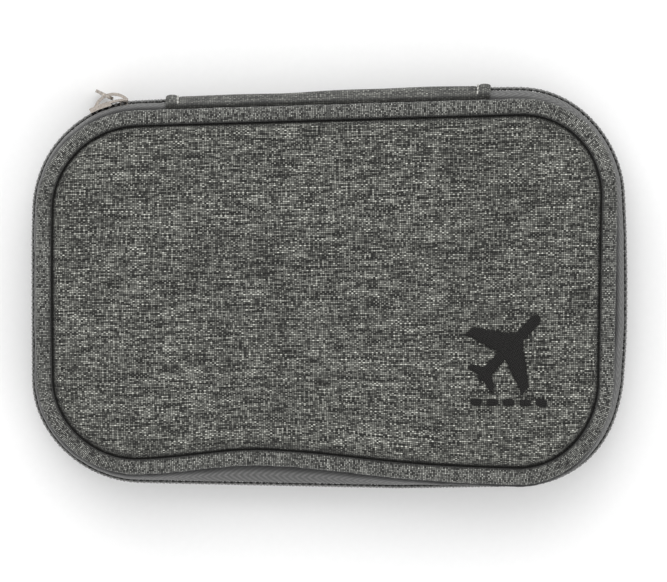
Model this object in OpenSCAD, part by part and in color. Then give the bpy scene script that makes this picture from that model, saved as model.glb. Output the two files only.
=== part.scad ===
// Zip-round passport holder wallet. It lies on its back cover: +Z is its thickness,
// +X its long side, and the fabric spine is on the +Y side. The covers are padded
// panels bound at the rim, and the zip runs round the three sides without a spine.

/* [Covers] */
// Length of a cover, along X
cover_l = 156.5; // [150:0.5:165]
// Width of a cover, along Y
cover_w = 101.6; // [98:0.2:108]
// Radius of the cover's corners at the edge
corner_r = 27; // [24:0.5:30]
// Thickness of the closed wallet
thick = 25; // [25:0.5:30]
// Width of the binding strip round the rim
bind_w = 4.3; // [3.5:0.1:5]
// Gap between the puffed panel and the binding
groove = 0.8; // [0.4:0.1:1.2]

/* [Zip] */
// Thickness of the zip tape
tape_t = 0.6; // [0.5:0.05:0.7]
// How far the tape bulges past the cover's edge
tape_out = 0.4; // [0.3:0.1:0.5]
// Width of one half of the coil
coil_w = 2.9; // [2.4:0.1:3.2]
// Thickness of the coil
coil_t = 0.8; // [0.7:0.05:0.9]
// Gap between the two halves of the zip
coil_gap = 1.2; // [1.1:0.1:1.6]
// Where the slider is parked, as an angle round the corner from the spine side
slider_at = 15; // [12:1:18]

/* [Spine] */
// Length of the fabric spine
spine_l = 87; // [70:1:92]
// Height of the two fold lines over the faces of the closed wallet
fold_h = 4; // [3.8:0.1:4.5]
// How far the spine bulges past its fold lines
spine_out = 2.4; // [2:0.1:3]

/* [Inside] */
// Length of the pockets
pocket_l = 132; // [126:1:136]
// Depth of the taller pockets
pocket_w = 84; // [78:1:86]
// Length of the coin pocket's zip
coin_zip_l = 112; // [100:1:116]

/* [Hidden] */
$fn = 96;

half_l = cover_l / 2;
half_w = cover_w / 2;
corner_x = half_l - corner_r;   // centre of a corner's arcs
corner_y = half_w - corner_r;
mid_z = thick / 2;
origin_y = 1.6;                 // from the covers' centre to the centre of the whole
eps = 0.01;

// heights of the front cover's layers; the back cover is their mirror image
panel_top = thick;
panel_step = thick - 0.7;       // floor of the groove
bind_top = thick - 0.1;
bind_t = 0.6;
foam_top = thick - 1.1;
lining_top = thick - 1.7;
lining_under = thick - 2.2;
bind_under = thick - 2.7;
layer_inset = 0.8;              // the layers' edges lie inside the binding's fold

// zip section, as distances out of the cover's edge and heights
coil_low = mid_z + coil_gap / 2;
coil_out = tape_out + coil_t;
tape_bend = 2;
tape_inset = 4.5;               // the tape is sewn this far in under the binding
end_angle = 31;                 // the front tape's last stretch ends here on the corner
zip_end_x = spine_l / 2 + 0.6;
end_stop_l = 1.6;
end_stop_room = 2;              // the coil leaves this much for the end stop

// slider, in the same section
slider_half_a = 10.75;          // half its length, as an angle
plate_in = [-1.2, -0.5];
plate_out = [1.4, 2.0];
plate_half_z = 4.4;
flange_z = coil_low + coil_w + 0.3 - mid_z;
flange_in = 0.7;
neck_half_z = 0.4;
crown_u = 0.6;
crown_half = 4.7;
crown_rise = 2.6;
crown_t = 0.8;
crown_w = 1.3;
crown_foot = 1.6;               // the crown's feet are sunk this far into the outer plate
crown_r = (crown_half * crown_half + crown_rise * crown_rise) / (2 * crown_rise);

// pull
pull_yaw = 138;                 // the hanging pull is turned this far from the zip's line
pull_t = 0.8;
pull_w = 5.1;
pull_drop = 11.5;
pull_shift = 0.7;
pull_neck = 1.25;
pull_v = crown_foot + crown_rise - crown_t / 2;

// spine
fold_y = half_w + 0.5;
fold_low = fold_h;
fold_high = thick - fold_h;
fold_bead_r = 0.7;
spine_t = 0.8;
spine_lining_half = 5.5;
tack_in = 3.4;                  // from the spine's ends to the bar tacks
belly = mid_z - fold_low;
belly_r = (belly * belly + spine_out * spine_out) / (2 * spine_out);

// inner pockets
back_floor = thick - lining_under;
coin_y = 33;                    // line of the coin pocket's zip
coin_panel = [back_floor + 1.7, back_floor + 2.3];
coin_slot_w = 8;
sheet_t = 0.5;
slot_gap = 0.4;
slot_l = 92;
slot_foot = -42;                // lower edge of the pockets
rim_w = 1;
passport_w = 66;                // depth of the passport pocket
pocket_inset = 5.8;             // the pockets stay this far inside the cover's edge
coin_coil_half = 1.8;
coin_gap_half = 0.6;
coin_slider_x = -48;
coin_slider_l = 7.4;
coin_slider_w = 6.6;
coin_plate_low = back_floor + 0.4;
coin_plate_high = coin_panel[1] + 0.7;
coin_plate_t = 0.7;
coin_crown_half = 3.4;
coin_crown_rise = 2.2;
coin_crown_t = 0.8;
coin_crown_w = 1.6;
coin_crown_r = (coin_crown_half * coin_crown_half + coin_crown_rise * coin_crown_rise)
    / (2 * coin_crown_rise);
coin_pivot_z = coin_plate_high + 2 * coin_plate_t;
coin_pull_t = 0.7;

// motif
motif_x = 49;
motif_y = -19;
motif_t = 0.4;
plane_up = 3.6;                 // from the motif's centre up to the aeroplane's
plane_l = 23;
wing_span = 11;                 // from the aeroplane's line to a wing's tip
dash_l = 3.4;
dash_w = 2.2;
dash_pitch = 4.5;
dash_down = 10.4;

// ---- helpers ----

module placed() {
    translate([0, -origin_y, 0]) children();
}

// turns a front-cover shape over to the back cover
module flipped() {
    translate([0, 0, thick]) mirror([0, 0, 1]) children();
}

module rounded(l, w, r) {
    square([l - 2 * r, w], center = true);
    square([l, w - 2 * r], center = true);
    for (sx = [-1, 1], sy = [-1, 1])
        translate([sx * (l / 2 - r), sy * (w / 2 - r)]) circle(r);
}

// a cover-shaped sheet between two heights, this far inside the cover's edge
module cover_sheet(inset, low, high) {
    translate([0, 0, low])
        linear_extrude(high - low)
            rounded(cover_l - 2 * inset, cover_w - 2 * inset, corner_r - inset);
}

// sweeps a section along one straight side; the section's x is the distance out of the edge
module straight_side(turn, edge, from, to) {
    rotate([0, 0, turn]) translate([edge, to, 0])
        rotate([90, 0, 0]) linear_extrude(to - from) children();
}

// sweeps a section round a corner from a quarter turn; a negative angle goes clockwise
module corner_arc(x, y, turn, angle) {
    translate([x, y, 0]) rotate([0, 0, turn]) mirror([0, angle < 0 ? 1 : 0, 0])
        rotate_extrude(angle = abs(angle)) translate([corner_r, 0]) children();
}

// the zip's way round the rim, up to a given angle on the slider's corner
module zip_path(corner_from) {
    straight_side(90, half_w, -corner_x, -zip_end_x) children();
    corner_arc(corner_x, corner_y, 0, 90) children();
    straight_side(0, half_l, -corner_y, corner_y) children();
    corner_arc(corner_x, -corner_y, -90, 90) children();
    straight_side(-90, half_w, -corner_x, corner_x) children();
    corner_arc(-corner_x, -corner_y, 180, 90) children();
    straight_side(180, half_l, -corner_y, corner_y) children();
    corner_arc(-corner_x, corner_y, 180, corner_from - 90) children();
}

// the rest of the way, from that angle to the spine
module zip_path_end(corner_to) {
    corner_arc(-corner_x, corner_y, 90, corner_to) children();
    straight_side(90, half_w, zip_end_x, corner_x) children();
}

module tape_section() {
    polygon([
        [-tape_inset, bind_under], [0, bind_under],
        [tape_out, bind_under - tape_bend], [tape_out, coil_low - 0.1],
        [tape_out - tape_t, coil_low - 0.1], [tape_out - tape_t, bind_under - tape_bend],
        [-0.5, bind_under - tape_t], [-tape_inset, bind_under - tape_t]]);
}

module coil_section() {
    translate([tape_out, coil_low]) square([coil_t, coil_w]);
}

// a pocket's outline: a rectangle whose lower corners follow the cover's
module pocket_outline(l, low_y, high_y, inset) {
    intersection() {
        rounded(cover_l - 2 * inset, cover_w - 2 * inset, corner_r - inset);
        translate([0, (low_y + high_y) / 2]) square([l, high_y - low_y], center = true);
    }
}

// an open-topped flat pocket: a sheet held off its backing by its sewn edges
module flat_pocket(l, low_y, high_y, base, gap) {
    translate([0, 0, base + gap]) linear_extrude(sheet_t)
        pocket_outline(l, low_y, high_y, pocket_inset);
    translate([0, 0, base]) linear_extrude(gap) difference() {
        pocket_outline(l, low_y, high_y, pocket_inset);
        pocket_outline(l - 2 * rim_w, low_y + rim_w, high_y + 1, pocket_inset + rim_w);
    }
}

// the arched bridge of a slider, its feet at y = 0
module crown(half, rise, radius, t, w) {
    linear_extrude(w, center = true)
        intersection() {
            translate([0, rise - radius]) difference() {
                circle(radius);
                circle(radius - t);
            }
            translate([-half - 1, 0]) square([2 * half + 2, rise + 1]);
        }
}

// places a shape on the slider's corner: x is along the zip, y out of the corner's centre
module at_slider() {
    translate([-corner_x, corner_y, 0]) rotate([0, 0, slider_at]) children();
}

module slider_arc(out, low, high, from, to) {
    rotate([0, 0, 90 - to])
        rotate_extrude(angle = to - from)
            translate([corner_r + out[0], low]) square([out[1] - out[0], high - low]);
}

// ---- the front cover's layers ----

module cover_panel() {
    cover_sheet(layer_inset, foam_top, panel_step);
    cover_sheet(bind_w + groove, panel_step, panel_top);
}

module cover_foam() {
    cover_sheet(layer_inset, lining_top, foam_top);
}

module cover_lining() {
    cover_sheet(layer_inset, lining_under, lining_top);
}

module cover_binding() {
    difference() {
        cover_sheet(0, bind_under, bind_top);
        cover_sheet(bind_w, bind_under - 1, bind_top + 1);
        cover_sheet(layer_inset, lining_under, panel_step);
    }
}

// ---- nodes ----

module front_cover_panel() { color("dimgray") placed() cover_panel(); }
module front_cover_foam() { color("lightgray") placed() cover_foam(); }
module front_cover_lining() { color("slategray") placed() cover_lining(); }
module front_binding() { color("gray") placed() cover_binding(); }
module back_cover_panel() { color("dimgray") placed() flipped() cover_panel(); }
module back_cover_foam() { color("lightgray") placed() flipped() cover_foam(); }
module back_cover_lining() { color("slategray") placed() flipped() cover_lining(); }
module back_binding() { color("gray") placed() flipped() cover_binding(); }

module front_zip_tape() {
    color("darkslategray") placed() zip_path(end_angle) tape_section();
}

module front_zip_tape_end() {
    color("darkslategray") placed() zip_path_end(end_angle) tape_section();
}

module front_zip_coil() {
    color("black") placed() zip_path(end_angle) coil_section();
}

module front_zip_coil_end() {
    color("black") placed() zip_path_end(end_angle) coil_section();
}

module back_zip_tape() {
    color("darkslategray") placed() flipped() {
        zip_path(0) tape_section();
        straight_side(90, half_w, zip_end_x, corner_x) tape_section();
    }
}

module back_zip_coil() {
    color("black") placed() flipped() {
        zip_path(0) coil_section();
        straight_side(90, half_w, zip_end_x + end_stop_room, corner_x) coil_section();
    }
}

// the small metal clip that ends each half of the closed zip, beside the spine
module zip_end_stops() {
    color("silver") placed() flipped()
        translate([-zip_end_x - end_stop_room + 0.2, half_w + tape_out, coil_low])
            cube([end_stop_l, coil_t + 0.2, coil_w]);
}

module cover_motif() {
    color("black") placed() translate([motif_x, motif_y, panel_top])
        linear_extrude(motif_t) {
            translate([0, plane_up]) plane_outline();
            for (i = [-2:2])
                translate([i * dash_pitch, -dash_down]) rounded(dash_l, dash_w, 0.8);
        }
}

// a plain aeroplane seen from above, flying up and to the right
module plane_outline() {
    rotate(-45) {
        rounded(3.2, plane_l, 1.5);
        for (s = [-1, 1]) {
            polygon([[0, 5], [s * wing_span, -3], [s * wing_span, -6], [0, -3]]);
            polygon([[0, -7.5], [s * 4.6, -10.2], [s * 4.6, -11.8], [0, -10.8]]);
        }
    }
}

module ticket_pocket() {
    color("slategray") placed() flipped()
        flat_pocket(pocket_l, slot_foot, slot_foot + pocket_w, back_floor, sheet_t);
}

module passport_pocket() {
    color("gray") placed() flipped()
        flat_pocket(pocket_l, slot_foot, slot_foot + passport_w, back_floor + 2 * sheet_t, 0.8);
}

module coin_pocket_panel() {
    color("gray") placed() difference() {
        translate([0, 0, back_floor]) linear_extrude(coin_panel[1] - back_floor)
            pocket_outline(pocket_l, slot_foot, slot_foot + pocket_w, pocket_inset);
        translate([0, 0, back_floor - 1]) linear_extrude(coin_panel[0] - back_floor + 1)
            pocket_outline(pocket_l - 2 * rim_w, slot_foot + rim_w, slot_foot + pocket_w - rim_w,
                           pocket_inset + rim_w);
        translate([-coin_zip_l / 2, coin_y - coin_slot_w / 2, 0])
            cube([coin_zip_l, coin_slot_w, thick]);
    }
}

module coin_zip_strip(inner, outer, low, high) {
    for (s = [-1, 1])
        translate([-coin_zip_l / 2 - 2, coin_y + s * (inner + outer) / 2, (low + high) / 2])
            translate([0, -(outer - inner) / 2, -(high - low) / 2])
                cube([coin_zip_l + 4, outer - inner, high - low]);
}

module coin_zip_tape() {
    color("darkslategray") placed()
        coin_zip_strip(coin_gap_half, 7, coin_panel[0] - 0.4, coin_panel[0]);
}

module coin_zip_coil() {
    color("black") placed() intersection() {
        coin_zip_strip(coin_gap_half, coin_gap_half + coin_coil_half,
                       coin_panel[0], coin_panel[0] + 1);
        translate([-coin_zip_l / 2, 0, 0]) cube([coin_zip_l, cover_w, thick]);
    }
}

module card_slot(level, mouth_y) {
    flat_pocket(slot_l, slot_foot, mouth_y,
                coin_panel[1] + level * (sheet_t + slot_gap), slot_gap);
}

module card_slot_high() { color("dimgray") placed() card_slot(0, 12); }
module card_slot_middle() { color("dimgray") placed() card_slot(1, 0); }
module card_slot_low() { color("dimgray") placed() card_slot(2, -12); }

// a slice of the spine's bowed sheet, from one radius to another and this far up and down
module spine_bow(inner_r, outer_r, half_z) {
    intersection() {
        translate([spine_out - belly_r, mid_z]) difference() {
            circle(outer_r, $fn = 180);
            circle(inner_r, $fn = 180);
        }
        translate([0, mid_z - half_z]) square([spine_out + 1, 2 * half_z]);
    }
}

module spine_outer() {
    color("dimgray") placed() translate([-spine_l / 2, fold_y, 0])
        rotate([90, 0, 90]) linear_extrude(spine_l) {
            spine_bow(belly_r - spine_t, belly_r, belly);
            for (z = [fold_low, fold_high]) translate([0, z]) circle(fold_bead_r);
        }
}

module spine_lining() {
    color("slategray") placed()
        translate([-spine_l / 2, fold_y - 0.6, mid_z - spine_lining_half])
            cube([spine_l, 0.6, 2 * spine_lining_half]);
}

// the two rows of stitches that hold the spine's folded ends
module spine_bar_tacks() {
    color("silver") placed()
        for (s = [-1, 1])
            translate([s * (spine_l / 2 - tack_in) - 0.15, fold_y, 0])
                rotate([90, 0, 90]) linear_extrude(0.3) difference() {
                    spine_bow(belly_r, belly_r + 0.2, 6);
                    for (z = [-3, 0, 3]) translate([0, mid_z + z - 0.3]) square([spine_out + 1, 0.6]);
                }
}

module zip_slider() {
    color("silver") placed() at_slider() {
        low = mid_z - plate_half_z;
        high = mid_z + plate_half_z;
        slider_arc(plate_in, low, high, -slider_half_a, slider_half_a);
        slider_arc(plate_out, low, high, -slider_half_a, slider_half_a);
        slider_arc([plate_in[1], plate_out[0]], mid_z - neck_half_z, mid_z + neck_half_z, 6, slider_half_a);
        // side flanges on the half that holds the closed chain
        slider_arc([flange_in, plate_out[0]], low, mid_z - flange_z, -slider_half_a, 1.5);
        slider_arc([flange_in, plate_out[0]], mid_z + flange_z, high, -slider_half_a, 1.5);
        translate([crown_u, corner_r + crown_foot, mid_z])
            crown(crown_half, crown_rise, crown_r, crown_t, crown_w);
    }
}

module zip_pull() {
    color("silver") placed() at_slider()
        translate([0, corner_r + pull_v, mid_z]) rotate([0, 0, pull_yaw]) rotate([90, 0, 0])
            difference() {
                linear_extrude(pull_t, center = true) difference() {
                    union() {
                        rounded(4, 3.2, 1.5);
                        translate([pull_shift, -(pull_drop + pull_neck) / 2])
                            rounded(pull_w, pull_drop - pull_neck, 1.6);
                    }
                    rounded(3.3, 2.4, 1);
                }
                // shallow panel pressed into both faces of the tab
                for (s = [-1, 1])
                    translate([pull_shift, -(pull_drop + 3) / 2, s * pull_t / 2])
                        cube([pull_w - 2, pull_drop - 6, 0.3], center = true);
            }
}

module coin_slider() {
    color("silver") placed() translate([coin_slider_x, coin_y, 0]) {
        for (z = [coin_plate_low, coin_plate_high])
            translate([0, 0, z + coin_plate_t / 2])
                cube([coin_slider_l, coin_slider_w, coin_plate_t], center = true);
        translate([-coin_slider_l / 2, -0.4, coin_plate_low])
            cube([1.6, 0.8, coin_plate_high - coin_plate_low + coin_plate_t]);
        translate([0, 0, coin_plate_high + coin_plate_t - eps]) rotate([90, 0, 0])
            crown(coin_crown_half, coin_crown_rise, coin_crown_r, coin_crown_t, coin_crown_w);
    }
}

module coin_pull() {
    color("silver") placed()
        translate([coin_slider_x, coin_y, coin_pivot_z - coin_pull_t / 2])
            linear_extrude(coin_pull_t) difference() {
                translate([6.2, 0]) rounded(13.1, 5, 1.2);
                translate([2.35, 0]) square([4, 2.6], center = true);
            }
}

back_cover_panel();
back_cover_foam();
back_cover_lining();
back_binding();
back_zip_tape();
back_zip_coil();
zip_end_stops();
coin_pocket_panel();
coin_zip_tape();
coin_zip_coil();
card_slot_low();
card_slot_middle();
card_slot_high();
spine_outer();
spine_lining();
spine_bar_tacks();
front_cover_panel();
front_cover_foam();
front_cover_lining();
front_binding();
front_zip_tape();
front_zip_tape_end();
front_zip_coil();
front_zip_coil_end();
cover_motif();
ticket_pocket();
passport_pocket();
zip_slider();
zip_pull();
coin_slider();
coin_pull();
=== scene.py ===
"""Looks of the zip-round passport wallet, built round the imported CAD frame.

Lengths in the code are millimetres in the covers' own frame (centre of the cover at 0, 0) and
become metres in the row frame when a mesh is made. The object lies on its back cover.
"""

import math

import bpy
import numpy as np
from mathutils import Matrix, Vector


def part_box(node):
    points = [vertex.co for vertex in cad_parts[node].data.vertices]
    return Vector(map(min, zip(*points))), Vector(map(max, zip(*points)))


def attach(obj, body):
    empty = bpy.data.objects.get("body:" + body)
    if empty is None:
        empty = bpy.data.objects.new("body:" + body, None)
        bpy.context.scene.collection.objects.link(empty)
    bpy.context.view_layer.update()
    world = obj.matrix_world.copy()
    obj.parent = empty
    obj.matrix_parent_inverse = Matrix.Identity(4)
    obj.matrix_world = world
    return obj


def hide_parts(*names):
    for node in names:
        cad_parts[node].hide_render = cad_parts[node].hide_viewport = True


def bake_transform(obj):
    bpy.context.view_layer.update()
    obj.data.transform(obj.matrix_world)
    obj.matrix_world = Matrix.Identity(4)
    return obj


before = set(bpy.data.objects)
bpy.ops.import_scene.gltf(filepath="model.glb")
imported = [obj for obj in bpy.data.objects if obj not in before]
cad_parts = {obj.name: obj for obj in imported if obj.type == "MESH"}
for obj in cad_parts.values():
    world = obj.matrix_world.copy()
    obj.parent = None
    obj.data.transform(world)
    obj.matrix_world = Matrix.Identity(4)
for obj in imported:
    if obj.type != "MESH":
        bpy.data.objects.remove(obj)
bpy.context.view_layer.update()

MM = 0.001
RNG = np.random.default_rng(7)


def box_mm(node):
    """Lowest and highest corner of a CAD node, in mm in the row frame."""
    low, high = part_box(node)
    return np.array(low) / MM, np.array(high) / MM


# ---- places and sizes, from the CAD ----
BIND_LOW, BIND_HIGH = box_mm("front_binding")
CENTRE_X, CENTRE_Y = (BIND_LOW[:2] + BIND_HIGH[:2]) / 2
HALF_L, HALF_W = (BIND_HIGH[:2] - BIND_LOW[:2]) / 2
THICK = box_mm("front_cover_panel")[1][2]
MID_Z = THICK / 2
CORNER_R = 27.0
CORNER_X = HALF_L - CORNER_R
CORNER_Y = HALF_W - CORNER_R
SPINE_HALF = box_mm("spine_outer")[1][0]
FOLD_Y = HALF_W + 0.5
ZIP_END_X = SPINE_HALF + 0.6
QUARTER = CORNER_R * math.pi / 2
PERIMETER = 4 * (CORNER_X + CORNER_Y + QUARTER)
BIND_W = 4.3  # width of the binding's face
GROOVE = 0.85  # gap between the binding and the stuffed panel
PANEL_EDGE = BIND_W + GROOVE
PANEL_FOOT = 1.2  # the stuffed panel's slope starts this far inside its edge
TOOTH_PITCH = 1.73  # size 5 nylon coil
FACE_Z = 23.5  # the outer face's folds lie above this height
LOW_LIFT = 15.5  # above this the front cover's outline takes over from the zip's
LIFT_RUN = 6.5  # over this much height
DIP_X = -19.0  # where the front cover's lower edge is pushed in furthest
DIP_DEPTH = 3.6
DIP_REACH_LEFT = 16.0
DIP_REACH_RIGHT = 24.0


def smooth(t):
    """0 below 0, 1 above 1, with no corner between."""
    t = np.clip(t, 0.0, 1.0)
    return t * t * (3 - 2 * t)


# ---- how the real wallet's soft outline leaves the CAD's: it widens towards +X ----
def dip_at(x):
    """How far the front cover's lower edge is pushed in, which shows the zip under it."""
    reach = np.where(x < DIP_X, DIP_REACH_LEFT, DIP_REACH_RIGHT)
    return DIP_DEPTH * np.exp(-((x - DIP_X) ** 2) / (2 * reach**2))


def lift_at(z):
    """0 where the zip's outline holds, 1 where the front cover's does."""
    return smooth((z - LOW_LIFT) / LIFT_RUN)


def warp(x, y, z):
    """Moves points of the soft pieces from the CAD's outline to the relaxed one.
    Each edge moves by a few tenths and leans a little along its length."""
    x, y, z = (np.asarray(v, float) for v in (x, y, z))
    lifted = lift_at(z)
    top = (0.85 + 0.0228 * x) * (1 - lifted) + (-0.5 + 0.016 * x) * lifted
    low = (-0.2 - 0.034 * np.minimum(x, 18.0)) * (1 - lifted) + (-0.3 - 0.038 * x) * lifted
    bow = np.maximum(0.0, 1 - (y / 45.0) ** 2)
    left = -0.75 * bow + 0.012 * y
    right = (0.4 + 0.02 * y) * (1 - lifted) + (-1.05 + 0.035 * y) * lifted
    up = np.where(y > 0, top, low) * np.minimum(np.abs(y) / HALF_W, 1.08)
    along = np.where(x > 0, right, left) * np.minimum(np.abs(x) / HALF_L, 1.08)
    pushed = dip_at(x) * smooth((-y - 16.0) / 27.0) * lifted
    return x + along, y + up + pushed, z


# ---- the rim's line, as length from the middle of the spine side, counterclockwise ----
def rim_table():
    """Edge points with their outward normals, and the length of rim up to each."""
    turns = np.linspace(0, math.pi / 2, 46)[1:-1]
    rows = [(0.0, HALF_W, 0.0, 1.0), (-CORNER_X, HALF_W, 0.0, 1.0)]
    corners = [(-CORNER_X, CORNER_Y, 90), (-CORNER_X, -CORNER_Y, 180),
               (CORNER_X, -CORNER_Y, 270), (CORNER_X, CORNER_Y, 0)]
    for x, y, start in corners:
        for turn in (0.0, *turns, math.pi / 2):
            a = math.radians(start) + turn
            nx, ny = math.cos(a), math.sin(a)
            rows.append((x + CORNER_R * nx, y + CORNER_R * ny, nx, ny))
    rows.append((0.0, HALF_W, 0.0, 1.0))
    table = np.array(rows)
    steps = np.hypot(*np.diff(table[:, :2], axis=0).T)
    length = np.concatenate([[0.0], np.cumsum(steps)])
    return length * PERIMETER / length[-1], table


RIM_S, RIM = rim_table()


def rim_at(s):
    """Edge point and outward normal at each length s round the rim."""
    s = np.asarray(s, float) % PERIMETER
    x, y, nx, ny = (np.interp(s, RIM_S, RIM[:, i]) for i in range(4))
    size = np.hypot(nx, ny)
    return x, y, nx / size, ny / size


RIGHT_SIDE = 3 * (CORNER_X + QUARTER) + 2 * CORNER_Y  # length of rim up to the right side's foot

# stretches where the zip lies further in than the cover's edge: (middle, reach, depth)
RELIEFS = [
    (CORNER_X + 0.867 * QUARTER, 9.0, 0.25),  # where the slider's run ends
    (CORNER_X + QUARTER + CORNER_Y, 45.0, 0.65),  # left side
    (RIGHT_SIDE - 6.0, 12.0, 1.0),  # lower right corner
    (RIGHT_SIDE + 2 * CORNER_Y + QUARTER / 2 - 4.0, 22.0, 1.5),  # upper right corner
]


def rim_points(s, out, z):
    """Points at length s, this far out of the cover's edge, at height z."""
    x, y, nx, ny = rim_at(s)
    relief = sum(depth * np.exp(-(((s - middle) / reach) ** 2)) for middle, reach, depth in RELIEFS)
    only_zip = smooth((out + 0.2) / 0.4)
    out = out - relief * only_zip
    return warp(x + out * nx, y + out * ny, z)


ZIP_START = ZIP_END_X
ZIP_STOP = PERIMETER - ZIP_END_X


# ---- meshes ----
def build(name, points, faces, uvs=None, material=None, openness=None):
    """A mesh object from points in mm in the covers' frame, with one UV pair for each point.
    The last argument is painted shade kept on the mesh: 0 for cloth deep in a seam, where the colour is
    darkened, and 1 for cloth in the open."""
    mesh = bpy.data.meshes.new(name)
    co = np.asarray(points, float).reshape(-1, 3)
    co = (co + [CENTRE_X, CENTRE_Y, 0]) * MM
    mesh.from_pydata(co.tolist(), [], [list(map(int, f)) for f in faces])
    if uvs is not None:
        layer = mesh.uv_layers.new(name="cloth")
        flat = np.asarray(uvs, float).reshape(-1, 2)
        loops = np.zeros(len(mesh.loops), np.int32)
        mesh.loops.foreach_get("vertex_index", loops)
        layer.data.foreach_set("uv", flat[loops].ravel())
    mesh.polygons.foreach_set("use_smooth", [True] * len(mesh.polygons))
    # painted shade: one value per point that darkens the cloth's colour in seams and grooves
    level = np.ones(len(co)) if openness is None else np.asarray(openness, float).ravel()
    mark = mesh.attributes.new("open", "FLOAT", "POINT")
    mark.data.foreach_set("value", level.astype(np.float32))
    if material:
        mesh.materials.append(material)
    obj = bpy.data.objects.new(name, mesh)
    bpy.context.scene.collection.objects.link(obj)
    return obj


def grid_faces(rows, columns, close=False, keep=None, flip=False):
    """Quads of a grid of points stored row by row; keep(row, column) may leave some out."""
    faces = []
    for r in range(rows if close else rows - 1):
        nr = (r + 1) % rows
        for c in range(columns - 1):
            if keep is None or keep(r, c):
                here, below = r * columns + c, nr * columns + c
                quad = (here, here + 1, below + 1, below)
                faces.append(quad[::-1] if flip else quad)
    return faces


def section_lengths(line):
    """Length along a line up to each of its points."""
    steps = np.linalg.norm(np.diff(np.asarray(line, float), axis=0), axis=1)
    return np.concatenate([[0.0], np.cumsum(steps)])


def resample(section, step):
    """The section's points joined by a smooth line, a step apart."""
    section = np.asarray(section, float)
    for _corner_cut in range(2):
        q = section[:-1] * 0.75 + section[1:] * 0.25
        r = section[:-1] * 0.25 + section[1:] * 0.75
        section = np.vstack([section[:1], np.stack([q, r], 1).reshape(-1, 2), section[-1:]])
    lengths = section_lengths(section)
    t = np.linspace(0, lengths[-1], max(3, int(lengths[-1] / step) + 1))
    return np.stack([np.interp(t, lengths, section[:, i]) for i in range(2)], 1)


def wander(s, seed, waves, size):
    """A slow uneven wave along the rim that closes on itself."""
    rng = np.random.default_rng(seed)
    total = np.zeros_like(s)
    for k in waves:
        total += np.sin(2 * math.pi * (k * s / PERIMETER + rng.random())) * rng.uniform(0.5, 1)
    return total * size / math.sqrt(len(waves))


def sweep(name, section, start, stop, step, material, across=False, uneven=0.0, seed=1, back=False,
          shade=None):
    """A section of (out, z) carried round the rim. across puts the yarns across the strip, and back
    turns it over for the back cover. shade is the painted shade along the section, point by point: 0
    darkens the cloth, 1 leaves it."""
    closed = stop - start > PERIMETER - 1e-6
    count = int((stop - start) / step)
    s = np.linspace(start, stop, count + (0 if closed else 1), endpoint=not closed)
    lengths = section_lengths(section)
    points, uvs = [], []
    shift = wander(s, seed, (23, 37, 61, 90, 131), uneven)
    lift = wander(s, seed + 50, (31, 53, 77, 112), uneven)
    for k, (out, z) in enumerate(section):
        height = THICK - z if back else z
        outward = smooth((out + 4.6) / 4.0)
        x, y, zz = rim_points(s, out + shift * outward, np.full_like(s, height))
        on_face = z > FACE_Z
        points.append(np.stack([x, y, zz + lift * (-1 if back else 1) * on_face], 1))
        pair = (np.full_like(s, lengths[k]), s) if across else (s, np.full_like(s, lengths[k]))
        uvs.append(np.stack(pair, 1))
    points, uvs = np.stack(points, 1), np.stack(uvs, 1)
    faces = grid_faces(len(s), len(section), close=closed, flip=back)
    openness = np.broadcast_to(np.ones(len(section)) if shade is None else shade, points.shape[:2])
    return build(name, points, faces, uvs, material, openness)


def half_width_at(y, inset, limit=1e9):
    """Half the cover's width at height y, this far inside its edge."""
    r = CORNER_R - inset
    over = np.maximum(np.abs(y) - CORNER_Y, 0.0)
    return np.minimum(CORNER_X + np.sqrt(np.maximum(r * r - over * over, 0.0)), limit)


def inside_distance(x, y):
    """Distance in from the cover's edge."""
    qx, qy = np.abs(x) - CORNER_X, np.abs(y) - CORNER_Y
    outside = np.hypot(np.maximum(qx, 0), np.maximum(qy, 0))
    return CORNER_R - outside - np.minimum(np.maximum(qx, qy), 0)


def cover_rows(inset, step):
    """Rows across the cover, closer together where its corners round off."""
    r = CORNER_R - inset
    turns = np.radians(np.linspace(90, 0, 27))
    upper = CORNER_Y + r * np.sin(turns)
    middle = np.linspace(CORNER_Y, -CORNER_Y, int(2 * CORNER_Y / step))[1:-1]
    return np.concatenate([upper, middle, -upper[::-1]])


def cover_grid(inset, step, ends=(0, .12, .3, .55, .85, 1.2, 1.7, 2.4, 3.4, 5.0)):
    """Flat grid of x and y over a cover-shaped outline, finer at its rim."""
    ys = cover_rows(inset, step)
    count = int(2 * (CORNER_X - 6) / step)
    ends = np.array(ends)
    xs = []
    for y in ys:
        half = half_width_at(y, inset)
        middle = np.linspace(-(half - ends[-1]), half - ends[-1], count)[1:-1]
        xs.append(np.concatenate([-(half - ends), middle, (half - ends)[::-1]]))
    xs = np.array(xs)
    return xs, np.repeat(ys[:, None], xs.shape[1], 1)


# ---- material helpers ----
def srgb(*levels):
    """Linear colour from 0 to 255 display levels."""
    c = [v / 255 for v in levels]
    return tuple(v / 12.92 if v <= 0.04045 else ((v + 0.055) / 1.055) ** 2.4 for v in c) + (1.0,)


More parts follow.
